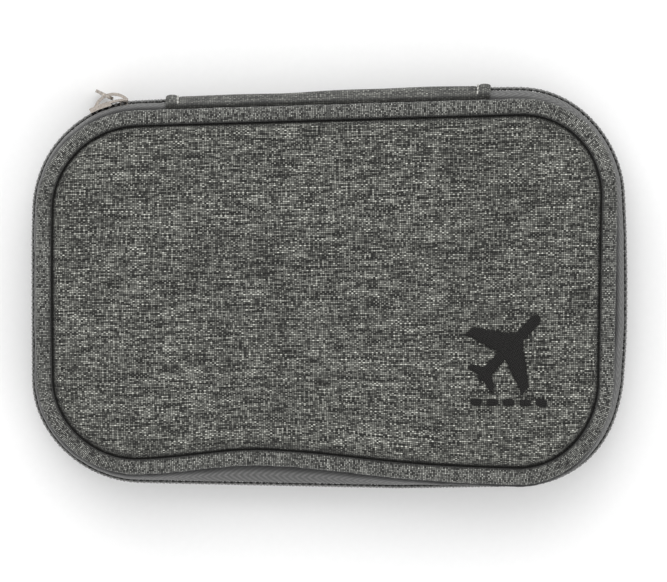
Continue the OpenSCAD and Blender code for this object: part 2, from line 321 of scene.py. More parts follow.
class Graph:
    """Short calls for the nodes of one material."""

    def __init__(self, name):
        self.material = bpy.data.materials.new(name)
        self.material.use_nodes = True
        self.tree = self.material.node_tree
        self.shader = self.tree.nodes["Principled BSDF"]

    def put(self, kind, values, **settings):
        """A node whose inputs are linked to sockets or set to plain values."""
        node = self.tree.nodes.new(kind)
        for key, value in settings.items():
            setattr(node, key, value)
        for key, value in values.items():
            if isinstance(value, bpy.types.NodeSocket):
                self.tree.links.new(value, node.inputs[key])
            else:
                node.inputs[key].default_value = value
        return node

    def calc(self, operation, *values):
        return self.put("ShaderNodeMath", dict(enumerate(values)), operation=operation).outputs[0]

    def cloth_uv(self):
        uv = self.put("ShaderNodeUVMap", {}, uv_map="cloth").outputs[0]
        split = self.put("ShaderNodeSeparateXYZ", {0: uv})
        return split.outputs[0], split.outputs[1]

    def painted_shade_factor(self):
        """The painted shade kept on the mesh: 0 darkens the colour deep in a seam, 1 leaves it."""
        return self.put("ShaderNodeAttribute", {}, attribute_name="open").outputs["Fac"]

    def place(self):
        """Place on the object, in mm."""
        coords = self.put("ShaderNodeTexCoord", {}).outputs["Object"]
        values = {0: coords, 1: (1 / MM, 1 / MM, 1 / MM)}
        return self.put("ShaderNodeVectorMath", values, operation="MULTIPLY").outputs[0]

    def join(self, x, y, z=0.0):
        return self.put("ShaderNodeCombineXYZ", {0: x, 1: y, 2: z}).outputs[0]

    def noise(self, vector, scale=1.0, detail=2.0, roughness=0.5):
        values = {"Vector": vector, "Scale": scale, "Detail": detail, "Roughness": roughness}
        return self.put("ShaderNodeTexNoise", values).outputs[0]

    def span(self, value, low, high, to_low=0.0, to_high=1.0):
        """The value's range stretched to another one, clamped."""
        values = {0: value, 1: low, 2: high, 3: to_low, 4: to_high}
        return self.put("ShaderNodeMapRange", values).outputs[0]

    def tint(self, factor, dark, light):
        node = self.put("ShaderNodeMix", {0: factor, 6: dark, 7: light}, data_type="RGBA")
        return node.outputs[2]

    def finish(self, colour, rough, height=None, depth=0.1, strength=1.0, **fixed):
        self.tree.links.new(colour, self.shader.inputs["Base Color"])
        self.tree.links.new(rough, self.shader.inputs["Roughness"])
        if height is not None:
            values = {"Height": height, "Distance": depth * MM, "Strength": strength}
            bump = self.put("ShaderNodeBump", values).outputs[0]
            self.tree.links.new(bump, self.shader.inputs["Normal"])
        for key, value in fixed.items():
            self.shader.inputs[key.replace("_", " ")].default_value = value
        return self.material


def woven(name, dark, light, pitch_x=0.6, pitch_y=0.45, streak=1.0, depth=0.1, sheen=0.15):
    """Plain weave of slubby two-tone yarns: the yarns along U are stacked pitch_y apart."""
    g = Graph(name)
    u, v = g.cloth_uv()
    slow = g.join(g.calc("MULTIPLY", u, 0.09), g.calc("MULTIPLY", v, 0.12))
    drift = g.calc("MULTIPLY", g.calc("SUBTRACT", g.noise(slow), 0.5), 0.9)
    a = g.calc("DIVIDE", g.calc("ADD", u, drift), pitch_x)
    b = g.calc("DIVIDE", g.calc("ADD", v, drift), pitch_y)
    ia, ib = g.calc("FLOOR", a), g.calc("FLOOR", b)
    fa, fb = g.calc("FRACT", a), g.calc("FRACT", b)
    long_x = g.noise(g.join(g.calc("MULTIPLY", u, 0.13), g.calc("MULTIPLY", ib, 7.31)), detail=2.0)
    long_y = g.noise(g.join(g.calc("MULTIPLY", ia, 6.17), g.calc("MULTIPLY", v, 0.14), 9.0), detail=1.0)
    slub_x = g.span(long_x, 0.37, 0.68, 1 - 0.95 * streak, 1 + 1.45 * streak)
    slub_y = g.span(long_y, 0.3, 0.7, 0.8 - 0.5 * streak, 0.8 + 0.5 * streak)
    ridge_x = g.calc("SINE", g.calc("MULTIPLY", fb, math.pi))
    ridge_y = g.calc("SINE", g.calc("MULTIPLY", fa, math.pi))
    bow_x = g.calc("MULTIPLY", ridge_x, g.calc("ADD", 0.55, g.calc("MULTIPLY", ridge_y, 0.45)))
    bow_y = g.calc("MULTIPLY", ridge_y, g.calc("ADD", 0.4, g.calc("MULTIPLY", ridge_x, 0.6)))
    parity = g.calc("MODULO", g.calc("ABSOLUTE", g.calc("ADD", ia, ib)), 2.0)
    pick_y = g.calc("MULTIPLY", parity, g.calc("GREATER_THAN", ridge_y, 0.45))
    pick_x = g.calc("SUBTRACT", 1.0, pick_y)
    slub = g.calc("ADD", g.calc("MULTIPLY", slub_x, pick_x), g.calc("MULTIPLY", slub_y, pick_y))
    height = g.calc("ADD", g.calc("MULTIPLY", bow_x, pick_x), g.calc("MULTIPLY", bow_y, pick_y))
    crossing = g.put("ShaderNodeTexWhiteNoise", {0: g.join(ia, ib)}, noise_dimensions="2D").outputs[0]
    fleck = g.span(crossing, 0.0, 1.0, 0.05, 2.15)
    wide = g.noise(g.join(g.calc("MULTIPLY", u, 0.035), g.calc("MULTIPLY", v, 0.06), 1.0), detail=3.0)
    tone = g.calc("MULTIPLY", slub, fleck)
    # painted shade: the hollows between the yarns are darkened by the yarns' height
    tone = g.calc("MULTIPLY", tone, g.calc("POWER", height, 1.9))
    tone = g.calc("MULTIPLY", tone, g.span(wide, 0.25, 0.75, 0.235, 0.355))
    # painted shade: darkened where the mesh marks cloth deep in a seam
    tone = g.calc("MULTIPLY", tone, g.painted_shade_factor())
    rough = g.span(crossing, 0.0, 1.0, 0.74, 0.9)
    return g.finish(g.tint(tone, dark, light), rough, height, depth, 1.0, Sheen_Weight=sheen,
                    Specular_IOR_Level=0.25)


def herringbone(name, dark, light, rib=1.73, band=6.6, apex=7.4, depth=0.12):
    """Zip tape: bold chevrons that point along the tape, over fine cross ribs."""
    g = Graph(name)
    u, v = g.cloth_uv()
    band_at = g.calc("FRACT", g.calc("ADD", g.calc("DIVIDE", v, band), 0.5 - apex / band))
    side = g.calc("MULTIPLY", g.calc("ABSOLUTE", g.calc("SUBTRACT", band_at, 0.5)), band)
    slant = g.calc("DIVIDE", g.calc("SUBTRACT", u, g.calc("MULTIPLY", side, 1.15)), rib)
    wave = g.calc("SINE", g.calc("MULTIPLY", slant, 2 * math.pi))
    chevron = g.span(wave, -0.6, 0.9)
    fine = g.calc("ABSOLUTE", g.calc("SINE", g.calc("MULTIPLY", u, math.pi / 0.32)))
    cross = g.calc("ABSOLUTE", g.calc("SINE", g.calc("MULTIPLY", v, math.pi / 0.4)))
    yarn = g.calc("MULTIPLY", fine, cross)
    height = g.calc("ADD", g.calc("MULTIPLY", chevron, 0.6), g.calc("MULTIPLY", yarn, 0.4))
    fleck = g.noise(g.join(g.calc("MULTIPLY", u, 1.4), g.calc("MULTIPLY", v, 2.1)), detail=3.0)
    # the chevrons and ribs are a woven pattern; their low parts are painted darker, as shade
    tone = g.calc("MULTIPLY", g.span(height, 0.0, 1.0, 0.36, 0.96), g.span(fleck, 0.3, 0.7, 0.6, 1.0))
    # painted shade: darkened where the mesh marks cloth deep in a seam
    tone = g.calc("MULTIPLY", tone, g.painted_shade_factor())
    rough = g.span(fleck, 0.3, 0.7, 0.65, 0.85)
    return g.finish(g.tint(tone, dark, light), rough, height, depth, 0.8, Sheen_Weight=0.1)


def nylon(name, dark, light):
    """Moulded zip coil: smooth dark plastic with faint mould streaks."""
    g = Graph(name)
    place = g.place()
    streak = g.noise(place, 1.6, 3.0)
    fine = g.noise(place, 9.0, 2.0)
    return g.finish(g.tint(streak, dark, light), g.span(fine, 0.3, 0.7, 0.32, 0.5), fine, 0.02, 0.4)


def nickel(name, dark, light):
    """Plated zinc of the sliders: soft polish, faint casting unevenness and rubbed patches."""
    g = Graph(name)
    place = g.place()
    cast = g.noise(place, 0.55, 2.0)
    rub = g.noise(place, 2.4, 4.0, 0.65)
    colour = g.tint(rub, dark, light)
    rough = g.span(rub, 0.3, 0.72, 0.2, 0.42)
    return g.finish(colour, rough, cast, 0.06, 0.5, Metallic=1.0)


def thread(name, dark, light, gloss=0.5, shine=0.4, sheen=0.2):
    """Stitching thread: two plies twisted round each other."""
    g = Graph(name)
    u, v = g.cloth_uv()
    ply = g.calc("SINE", g.calc("MULTIPLY", g.calc("ADD", g.calc("MULTIPLY", u, 2.2), v), 2 * math.pi))
    fibre = g.noise(g.place(), 5.0, 3.0)
    # painted shade: the grooves between the plies are darker, following the plies' height
    tone = g.calc("ADD", g.calc("MULTIPLY", ply, 0.25), fibre)
    rough = g.span(fibre, 0.3, 0.7, gloss - 0.1, gloss + 0.15)
    return g.finish(g.tint(g.span(tone, 0.2, 0.9), dark, light), rough, ply, 0.03, 0.5, Sheen_Weight=sheen,
                    Specular_IOR_Level=shine)


def floor_paper():
    """Pale studio paper."""
    g = Graph("studio_paper")
    grain = g.noise(g.place(), 0.6, 4.0)
    colour = g.tint(grain, (0.93, 0.93, 0.93, 1), (0.96, 0.96, 0.96, 1))
    return g.finish(colour, g.span(grain, 0, 1, 0.8, 0.9), grain, 0.01, 0.2)


FABRIC = woven("heather_fabric", srgb(20, 20, 18), srgb(226, 227, 217))
BINDING = woven("binding_fabric", srgb(22, 22, 21), srgb(236, 237, 229), 0.46, 0.46, 0.4)
LINING = woven("lining_fabric", srgb(40, 41, 42), srgb(150, 151, 152), 0.3, 0.3, 0.3, 0.03, 0.05)
POCKET = woven("pocket_fabric", srgb(46, 47, 48), srgb(168, 168, 168), 0.36, 0.36, 0.35, 0.04, 0.08)
TAPE = herringbone("zip_tape", srgb(18, 18, 18), srgb(124, 124, 123))
COIL = nylon("zip_coil", srgb(84, 84, 84), srgb(138, 138, 136))
METAL = nickel("nickel", srgb(134, 128, 122), srgb(198, 189, 180))
DARK_METAL = nickel("painted_stop", srgb(38, 38, 38), srgb(66, 65, 64))
BLACK_THREAD = thread("satin_thread", srgb(12, 12, 12), srgb(52, 51, 50), 0.5, 0.12, 0.02)
SEAM_THREAD = thread("seam_thread", srgb(70, 70, 68), srgb(150, 150, 146))
PALE_THREAD = thread("tack_thread", srgb(150, 149, 144), srgb(222, 221, 214))


# ---- the padded panels ----
SWELL_FRAMES = 20


def swelled(step=3.2):
    """Crown of the padded panel over a regular grid: a cloth pinned at the groove and blown up."""
    half_x = HALF_L - PANEL_EDGE - PANEL_FOOT
    half_y = HALF_W - PANEL_EDGE - PANEL_FOOT
    xs = np.linspace(-half_x, half_x, int(2 * half_x / step) + 1)
    ys = np.linspace(-half_y, half_y, int(2 * half_y / step) + 1)
    gx, gy = np.meshgrid(xs, ys)
    deep = inside_distance(gx, gy) - PANEL_EDGE - PANEL_FOOT
    points = np.stack([gx, gy, np.zeros_like(gx)], -1)
    sheet = build("swelling", points, grid_faces(len(ys), len(xs)))
    pins = sheet.vertex_groups.new(name="pins")
    pins.add([int(i) for i in np.nonzero(deep.ravel() <= 0.8)[0]], 1.0, "REPLACE")
    cloth = sheet.modifiers.new("cloth", "CLOTH")
    settings = cloth.settings
    settings.quality = 6
    settings.mass = 0.25
    settings.tension_stiffness = 12
    settings.compression_stiffness = 12
    settings.shear_stiffness = 6
    settings.bending_stiffness = 1.0
    settings.vertex_group_mass = "pins"
    settings.use_pressure = True
    settings.uniform_pressure_force = 4.0
    settings.effector_weights.gravity = 0.0
    cloth.point_cache.frame_start = 1
    cloth.point_cache.frame_end = SWELL_FRAMES + 4
    scene = bpy.context.scene
    for number in range(SWELL_FRAMES):
        scene.frame_set(number + 1)
    blown = sheet.evaluated_get(bpy.context.evaluated_depsgraph_get())
    result = blown.to_mesh()
    co = np.zeros(len(result.vertices) * 3, np.float32)
    result.vertices.foreach_get("co", co)
    heights = co.reshape(-1, 3)[:, 2].reshape(gx.shape) / MM
    blown.to_mesh_clear()
    bpy.data.objects.remove(sheet)
    scene.frame_set(1)
    return xs, ys, heights / max(float(heights.max()), 1e-6)


SWELL_X, SWELL_Y, SWELL = swelled()


def sample(x, y):
    """The crown's share of its full height at any point."""
    fx = np.interp(x, SWELL_X, np.arange(len(SWELL_X)))
    fy = np.interp(y, SWELL_Y, np.arange(len(SWELL_Y)))
    ix = np.minimum(fx.astype(int), len(SWELL_X) - 2)
    iy = np.minimum(fy.astype(int), len(SWELL_Y) - 2)
    tx, ty = fx - ix, fy - iy
    low = SWELL[iy, ix] * (1 - tx) + SWELL[iy, ix + 1] * tx
    high = SWELL[iy + 1, ix] * (1 - tx) + SWELL[iy + 1, ix + 1] * tx
    return low * (1 - ty) + high * ty


CROWN = 0.7  # height of the stuffed middle over the lip
GROOVE_FLOOR = 23.0  # height of the groove's floor
LIP = 24.85  # height of the panel's lip, where its slope ends
LIP_RUN = 1.7
BULGE = 0.7  # the stuffing pushed up beside the dip
FLAT_FROM = 23.4  # the back panel is pressed flatter from this height on


def ripple(x, y):
    """Slow unevenness of the stuffed cover."""
    total = 0.5 * np.sin(x / 13.0 + 1.0) * np.sin(y / 17.0) + 0.3 * np.sin(x / 29.0 - y / 11.0)
    total += 0.25 * np.sin(x / 7.5 + y / 21.0 + 2.0)
    return 0.16 * total


def panel_height(x, y):
    """Height of the front panel's face over its flat outline."""
    deep = inside_distance(x, y) - PANEL_EDGE
    rise = np.clip(deep / LIP_RUN, 0, 1)
    lip = GROOVE_FLOOR + (LIP - GROOVE_FLOOR) * np.sqrt(1 - (1 - rise) ** 2)
    crown = CROWN * sample(x, y) + ripple(x, y) * smooth(deep / 14.0)
    pushed = dip_at(x) / DIP_DEPTH * np.where(y < 0, 1.0, 0.0) * np.exp(-(((deep - 4.5) / 4.5) ** 2))
    return lip + crown + BULGE * pushed * smooth(deep / 2.0)


def lip_uvs(x, y, z):
    """The weave's place on the cloth: it runs on down the lip, so it isn't stretched there."""
    away_x = x - np.clip(x, -CORNER_X, CORNER_X)
    away_y = y - np.clip(y, -CORNER_Y, CORNER_Y)
    drop = np.maximum(LIP - z, 0.0) / np.maximum(np.hypot(away_x, away_y), 1.0)
    return np.stack([x + away_x * drop, y + away_y * drop], -1)


def cover_panel(body, back):
    """The stuffed, fabric-covered face of one cover, down into its groove."""
    x, y = cover_grid(BIND_W - 0.5, 1.5, (0, .5, .9, 1.05, 1.2, 1.4, 1.65, 2.0, 2.5, 3.1, 4.0, 5.5))
    z = panel_height(x, y)
    uvs = lip_uvs(x, y, z)
    if back:
        z = np.minimum(THICK - 0.02, FLAT_FROM + (z - FLAT_FROM) * 0.95)
    wx, wy = warp(x, y, np.full_like(x, 0.0 if back else THICK))[:2]
    points = np.stack([wx, wy, THICK - z if back else z], -1)
    faces = grid_faces(*x.shape, flip=not back)
    deep = inside_distance(x, y) - PANEL_EDGE
    # painted shade: the panel's cloth darkens to near black down in the groove
    openness = 0.03 + 0.97 * smooth((deep + 0.32) / 0.5)
    piece = build(body + "_padded_panel", points, faces, uvs, FABRIC, openness)
    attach(piece, body)
    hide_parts(body + "_cover_panel", body + "_cover_foam")


# ---- bindings ----
# (out of the cover's edge, height), from the seam inside, round the rim and down into the groove
BINDING_SECTION = [(-4.3, 22.35), (-3.0, 22.2), (-1.2, 22.15), (-0.7, 22.4), (-0.3, 23.0), (-0.25, 23.6),
                   (-0.35, 24.2), (-0.75, 24.75), (-1.4, 25.0), (-2.3, 25.05), (-3.2, 24.98), (-3.9, 24.75),
                   (-4.3, 24.3), (-4.42, 23.7), (-4.3, 23.0)]


def binding(body, back):
    """The strip of cloth folded over one cover's rim."""
    section = resample(BINDING_SECTION, 0.28)
    if back:
        section[:, 1] = np.minimum(section[:, 1], THICK - 0.1)
    out, z = section.T
    # painted shade: the binding darkens to near black where it turns down into the groove; the part under
    # the rim keeps its colour
    shade = smooth((-out - 4.45) / -0.9) * (0.25 + 0.75 * smooth((z - 22.6) / 0.8))
    shade = np.where(z < 22.5, 1.0, 0.04 + 0.96 * shade)
    piece = sweep(body + "_binding_strip", section, 0.0, PERIMETER, 1.1, BINDING, across=True,
                  uneven=0.1, seed=3 if back else 4, back=back, shade=shade)
    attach(piece, body)
    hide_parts(body + "_binding")


# ---- the zip ----
# (out of the cover's edge, height), from the seam inside out to the teeth
TAPE_SECTION = [(-4.5, 22.05), (-1.4, 22.05), (-0.2, 21.95), (0.35, 21.2), (0.75, 19.5),
                (0.9, 17.5), (0.8, 15.5), (0.6, 12.95)]
TEETH_OUT = 1.3
TUCK = 2.6  # the tapes' ends go this far under the spine
TEETH_TUCK = 1.2  # and the teeth's ends this far
TEETH_APART = 1.25  # each half's teeth are centred this far from the zip's middle line


def zip_tape(body, back):
    """One half of the zip's herringbone tape, with a painted shadow where it comes out from under the
    binding.
    """
    section = resample(TAPE_SECTION, 0.5)
    # painted shadow: the tape darkens towards the binding that overhangs it; the part inside the seam keeps
    # its colour
    shade = 0.06 + 0.94 * smooth((0.99 - lift_at(section[:, 1])) / 0.3)
    shade[section[:, 0] < -1.0] = 1.0
    piece = sweep(body + "_tape", section, ZIP_START - TUCK, ZIP_STOP + TUCK, 1.2, TAPE, uneven=0.08,
                  seed=8, back=back, shade=shade)
    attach(piece, body)
    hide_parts(body + "_zip_tape", *([] if back else ["front_zip_tape_end"]))


def bead(half_a, half_b, half_c, rings=7, around=8, square=0.75):
    """A rounded bar round 0: its points on each axis, and its faces."""
    points, faces = [], []
    for r in range(rings):
        t = math.pi * (r + 0.5) / rings
        c = -math.copysign(abs(math.cos(t)) ** 0.6, math.cos(t))
        for k in range(around):
            a = 2 * math.pi * k / around
            ca = math.copysign(abs(math.cos(a)) ** square, math.cos(a))
            sa = math.copysign(abs(math.sin(a)) ** square, math.sin(a))
            wide = math.sin(t) ** 0.5
            points.append((half_a * wide * ca, half_b * wide * sa, half_c * c))
    for r in range(rings - 1):
        for k in range(around):
            n = (k + 1) % around
            faces.append((r * around + k, r * around + n, (r + 1) * around + n, (r + 1) * around + k))
    faces.append(tuple(range(around))[::-1])
    faces.append(tuple(range((rings - 1) * around, rings * around)))
    return np.array(points), faces


def zip_teeth(body, back):
    """One half of the coil: a row of rounded bars that mesh with the other half's."""
    shape, shape_faces = bead(0.5, 0.5, 1.85)
    count = int((ZIP_STOP - ZIP_START + 2 * TEETH_TUCK + 0.2) / TOOTH_PITCH)
    first = ZIP_START - TEETH_TUCK + (TOOTH_PITCH / 2 if back else 0.0)
    points, faces, uvs = [], [], []
    middle = MID_Z + (-TEETH_APART if back else TEETH_APART)
    for i in range(count):
        s = first + i * TOOTH_PITCH
        lean = shape[:, 2] * 0.1
        x, y, z = rim_points(s + shape[:, 0] + lean, TEETH_OUT + shape[:, 1], middle + shape[:, 2])
        base = i * len(shape)
        points.append(np.stack([x, y, z], 1))
        uvs.append(np.stack([s + shape[:, 0], shape[:, 2]], 1))
        faces += [tuple(base + v for v in f) for f in shape_faces]
    piece = build(body + "_coil_teeth", np.vstack(points), faces, np.vstack(uvs), COIL)
    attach(piece, body)
    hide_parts(body + "_zip_coil", *([] if back else ["front_zip_coil_end"]))


def tube(paths, radius, around=6, flat=1.0, taper=True):
    """Thin strands along several lines of points: all points, faces and UVs."""
    points, faces, uvs = [], [], []
    base = 0
    for path in paths:
        path = np.asarray(path, float)
        tangent = np.gradient(path, axis=0)
        tangent /= np.linalg.norm(tangent, axis=1)[:, None] + 1e-12
        side = np.cross(tangent, [0, 0, 1.0])
        thin = np.linalg.norm(side, axis=1) < 0.2
        side[thin] = np.cross(tangent[thin], [1.0, 0, 0])
        side /= np.linalg.norm(side, axis=1)[:, None]
        rise = np.cross(side, tangent)
        run = section_lengths(path)
        t = run / max(run[-1], 1e-9)
        size = radius * (np.sqrt(np.clip(1 - (2 * t - 1) ** 8, 0.02, 1)) if taper else 1.0)
        size = np.broadcast_to(size, (len(path),))
        for i in range(len(path)):
            for k in range(around):
                a = 2 * math.pi * k / around
                points.append(path[i] + size[i] * (math.cos(a) * side[i] + flat * math.sin(a) * rise[i]))
                uvs.append((run[i], k / around))
        for i in range(len(path) - 1):
            for k in range(around):
                n = (k + 1) % around
                low, high = base + i * around, base + (i + 1) * around
                faces.append((low + k, high + k, high + n, low + n))
        faces.append(tuple(base + k for k in range(around)))
        faces.append(tuple(base + (len(path) - 1) * around + k for k in range(around))[::-1])
        base += len(path) * around
    return points, faces, uvs


def stitched(name, lines, body, material, pitch=2.6, gap=0.7, radius=0.16, lift=0.08, inner=1.0):
    """Rows of stitches along lines of points. Each is a short strand that dives at its ends.
    inner is the way the stitches stand proud: 1 up, -1 down."""
    paths = []
    for line in lines:
        line = np.asarray(line, float)
        run = section_lengths(line)
        count = max(1, int(run[-1] / pitch))
        for i in range(count):
            t = np.linspace(i * pitch + gap / 2, (i + 1) * pitch - gap / 2, 6)
            path = np.stack([np.interp(t, run, line[:, k]) for k in range(3)], 1)
            arch = np.sin(np.linspace(0, math.pi, 6)) ** 0.5
            path[:, 2] += inner * (lift * arch - 0.06)
            paths.append(path)
    piece = build(name, *tube(paths, radius), material)
    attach(piece, body)
    return piece


# ---- spine ----
def spine_section():
    """(y, z) of the spine's outer fabric, from under the front binding to the back one."""
    bulge = 1.75
    top = [(HALF_W - 3.6, 22.15), (HALF_W - 0.6, 22.2), (FOLD_Y + 0.15, 21.9), (FOLD_Y + 0.6, 21.2)]
    angles = np.linspace(-0.86, 0.0, 8)
    middle = [(FOLD_Y + 0.6 + (bulge - 0.6) * (1 - (a / 0.95) ** 2), MID_Z - a * 9.2) for a in angles]
    upper = resample(top + middle, 0.45)
    lower = upper[::-1][1:].copy()
    lower[:, 1] = THICK - lower[:, 1]
    return upper, lower


HEM = 3.3  # width of the folded hem at each end of the spine


def spine_half(name, section, offset):
    """The spine's cloth from its middle to one cover, where it bends between two heights.
    offset is the length of cloth before it, so that the weave runs on. Returns its own length."""
    xs = np.concatenate([[-SPINE_HALF, -SPINE_HALF, -SPINE_HALF + 0.3],
                         np.linspace(-SPINE_HALF + 0.8, SPINE_HALF - 0.8, 190),
                         [SPINE_HALF - 0.3, SPINE_HALF, SPINE_HALF]])
    fold = (SPINE_HALF - np.abs(xs)) / HEM
    stitch_pull = 0.3 * np.exp(-(((fold - 1.05) / 0.12) ** 2))
    hem = 0.5 * np.sqrt(np.clip(1 - (2 * fold - 1) ** 2, 0, 1)) - stitch_pull
    hem[0] = hem[-1] = -0.7
    slope = np.gradient(section, axis=0)
    normal = np.stack([-slope[:, 1], slope[:, 0]], 1)
    normal /= np.linalg.norm(normal, axis=1)[:, None] + 1e-12
    if normal[len(normal) // 2][0] < 0:
        normal = -normal
    lengths = section_lengths(section) + offset
    points, uvs = [], []
    # painted shade: the spine's cloth is darkened to 0.8 all over and to 0.15 next to the covers' rims
    under_rim = smooth((np.abs(section[:, 1] - MID_Z) - 7.6) / 1.8)
    openness = np.tile(0.8 - 0.65 * under_rim, (len(xs), 1))
    for i, x in enumerate(xs):
        moved = section + normal * hem[i]
        sag = 0.12 * math.sin(x / 9.0) + 0.08 * math.sin(x / 4.1 + 1)
        free = smooth((17 - np.abs(moved[:, 1] - MID_Z) * 2) / 9)
        placed = warp(np.full(len(moved), x), moved[:, 0] + sag * free, moved[:, 1])
        points.append(np.stack(placed, 1))
        uvs.append(np.stack([np.full(len(moved), x), lengths], 1))
    faces = grid_faces(len(xs), len(section), flip=True)
    piece = build(name, np.stack(points), faces, np.stack(uvs), FABRIC, openness)
    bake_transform(piece)
    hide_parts("spine_outer")
    wide = float(lengths[-1] - lengths[0])
    return wide


def spine():
    """The spine's cloth in two halves, and the stitch across each of its ends."""
    upper, lower = spine_section()
    back_section = np.vstack([upper[-1:], lower])
    wide = spine_half("spine_fabric_front", upper, 0.0)
    spine_half("spine_fabric_back", back_section, wide)
    line = np.vstack([upper, lower])
    line = line[np.abs(line[:, 1] - MID_Z) < 8.9]
    lines = []
    for x in (-SPINE_HALF + HEM, SPINE_HALF - HEM):
        lines.append(np.stack(warp(np.full(len(line), x), line[:, 0] + 0.1, line[:, 1]), 1))
    tacks = stitched("spine_tack_stitches", lines, "spine", PALE_THREAD, 2.4, 0.3, 0.24, 0.0)
    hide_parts("spine_bar_tacks")


# ---- the sewn mark on the front: a plain aeroplane over a row of dashes ----
MOTIF_X = 49.0
MOTIF_Y = -19.0
PLANE_UP = 3.6
DASH_PITCH = 4.5
DASH_DOWN = 10.4


def crossing(outline, at):
    """Where the line y = at crosses a convex outline: its lowest and highest x, or None."""
    hits = []
    for (x0, y0), (x1, y1) in zip(outline, outline[1:] + outline[:1]):
        if (y0 <= at) != (y1 <= at):
            hits.append(x0 + (x1 - x0) * (at - y0) / (y1 - y0))
    return (min(hits), max(hits)) if len(hits) > 1 else None


def satin(outline, turn, step=0.34, slant=0.0):
    """Strand lines across a convex outline, laid side by side; turn is the strands' direction."""
    c, s = math.cos(turn), math.sin(turn)
    local = [(x * c + y * s, -x * s + y * c) for x, y in outline]
    low, high = min(p[1] for p in local), max(p[1] for p in local)
    lines = []
    for at in np.arange(low + step * 0.35, high, step):
        found = crossing(local, at)
        if not found or found[1] - found[0] < 0.3:
            continue
        spill = RNG.uniform(-0.1, 0.14, 2)
        t = np.linspace(found[0] - spill[0], found[1] + spill[1], 9)
        y = at + slant * (t - t.mean()) + RNG.uniform(-0.03, 0.03)
        lines.append(np.stack([t * c - y * s, t * s + y * c], 1))
    return lines


def rounded_outline(x, y, l, w, r, turn=0.0):
    """Outline of a rectangle l by w with corners of radius r, centred at x, y."""
    points = []
    for sx, sy, start in ((1, 1, 0), (-1, 1, 90), (-1, -1, 180), (1, -1, 270)):
        for k in range(5):
            a = math.radians(start + 22.5 * k)
            points.append((sx * (l / 2 - r) + r * math.cos(a), sy * (w / 2 - r) + r * math.sin(a)))
    c, s = math.cos(turn), math.sin(turn)
    return [(x + px * c - py * s, y + px * s + py * c) for px, py in points]


def motif():
    """The mark in satin stitch: fuselage, wings and tail, and the dashes under them."""
    heading = math.radians(-45)
    c, s = math.cos(heading), math.sin(heading)

    def placed(points):
        return [(px * c - py * s, PLANE_UP + px * s + py * c) for px, py in points]

    lines = []
    for side in (-1, 1):
        wing = placed([(side * 0.6, 5), (side * 11, -3), (side * 11, -6), (side * 0.6, -3)])
        tail = placed([(side * 0.6, -7.5), (side * 4.6, -10.2), (side * 4.6, -11.8), (side * 0.6, -10.8)])
        for part in (wing, tail):
            lines += satin(part, heading + math.radians(90 - side * 20))
    lines += satin(rounded_outline(0, PLANE_UP, 3.2, 23, 1.55, heading), heading)
    for i in range(-2, 3):
        dash = rounded_outline(i * DASH_PITCH, -DASH_DOWN, 3.0, 2.0, 0.7)
        lines += satin(dash, math.radians(90))
    paths = []
    for line in lines:
        x, y = line[:, 0] + MOTIF_X, line[:, 1] + MOTIF_Y
        arch = np.sin(np.linspace(0, math.pi, len(line))) ** 0.45
        z = panel_height(x, y) + 0.34 * arch - 0.05
        wx, wy = warp(x, y, np.full_like(x, THICK))[:2]
        paths.append(np.stack([wx, wy, z], 1))
    piece = build("sewn_mark", *tube(paths, 0.2, 6, 0.9), BLACK_THREAD)
    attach(piece, "front")
    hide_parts("cover_motif")


# ---- inside ----
INNER = 2.0  # inside pieces follow their cover's outline this far in from its face
LINING_Z = 22.75
POCKET_INSET = 5.8  # the pockets' corners lie this far inside the cover's edge
POCKET_HALF = 66.0
CARD_HALF = 46.0
FOOT_Y = -42.0  # every pocket's sewn foot
TICKET_H = 84.0
PASSPORT_H = 66.0
COIN_Y = 33.0
COIN_HALF = 56.0
SLOT_HALF = 4.0  # half the width of the coin zip's slot
SEAM_POINTS = 60
CARD_STEP = 12.0  # the rearmost card slot's mouth, and the step down to the next two


def on_cover(x, y, back):
    """x and y moved to the relaxed outline of one cover's inside."""
    return warp(x, y, np.full_like(x, INNER if back else THICK - INNER))[:2]


def pocket_grid(high, mouth, half, zip_slot):
    """x and y over a pocket, closer at its foot, its hem, its slot and the round corners."""
    corner = CORNER_Y + (CORNER_R - POCKET_INSET) * np.sin(np.radians(np.linspace(0, 90, 14)))
    close = [mouth - 0.5, mouth - 0.15, mouth + 0.15, high - 0.4, high - 0.1]
    close += [FOOT_Y + 0.5, FOOT_Y + 1.2, FOOT_Y + 2.2]
    if zip_slot:
        close += [COIN_Y - SLOT_HALF, COIN_Y + SLOT_HALF]
    even = np.linspace(FOOT_Y, high, int((high - FOOT_Y) / 2.6))
    ys = np.concatenate([even, corner, -corner, close])
    ys = np.unique(np.round(ys[(ys >= FOOT_Y) & (ys <= high)], 3))
    edges = np.array([0, .4, 1.0, 1.8, 3.0] if zip_slot else [0, .4, 1.0, 1.8, 3.0, 5.0])
    count = 44 if zip_slot else int(2 * half / 3.0)
    rows = []
    for y in ys:
        wide = float(half_width_at(y, POCKET_INSET, half))
        reach = COIN_HALF if zip_slot else wide - 7
        middle = np.linspace(-reach, reach, count)
        rows.append(np.concatenate([-(wide - edges), middle, (wide - edges)[::-1]]))
    x = np.array(rows)
    return x, np.repeat(ys[:, None], x.shape[1], 1)


def pocket_seams(high, mouth, half, zip_slot):
    """x and y of a pocket's seams: sides, foot, and hem or zip."""
    y = np.linspace(FOOT_Y + 2.0, high - 0.6, SEAM_POINTS)
    x = half_width_at(y, POCKET_INSET, half) - 1.4
    level = [(float(half_width_at(FOOT_Y + 1.4, POCKET_INSET, half)) - 2.0, FOOT_Y + 1.4)]
    if zip_slot:
        level += [(COIN_HALF, COIN_Y - 5.2), (COIN_HALF, COIN_Y + 5.2)]
    else:
        level.append((float(half_width_at(mouth + 1, POCKET_INSET, half)) - 1.5, mouth + 1.0))
    lines = [(-x, y), (x, y)]
    for reach, at in level:
        lines.append((np.linspace(-reach, reach, SEAM_POINTS), np.full(SEAM_POINTS, at)))
    return lines


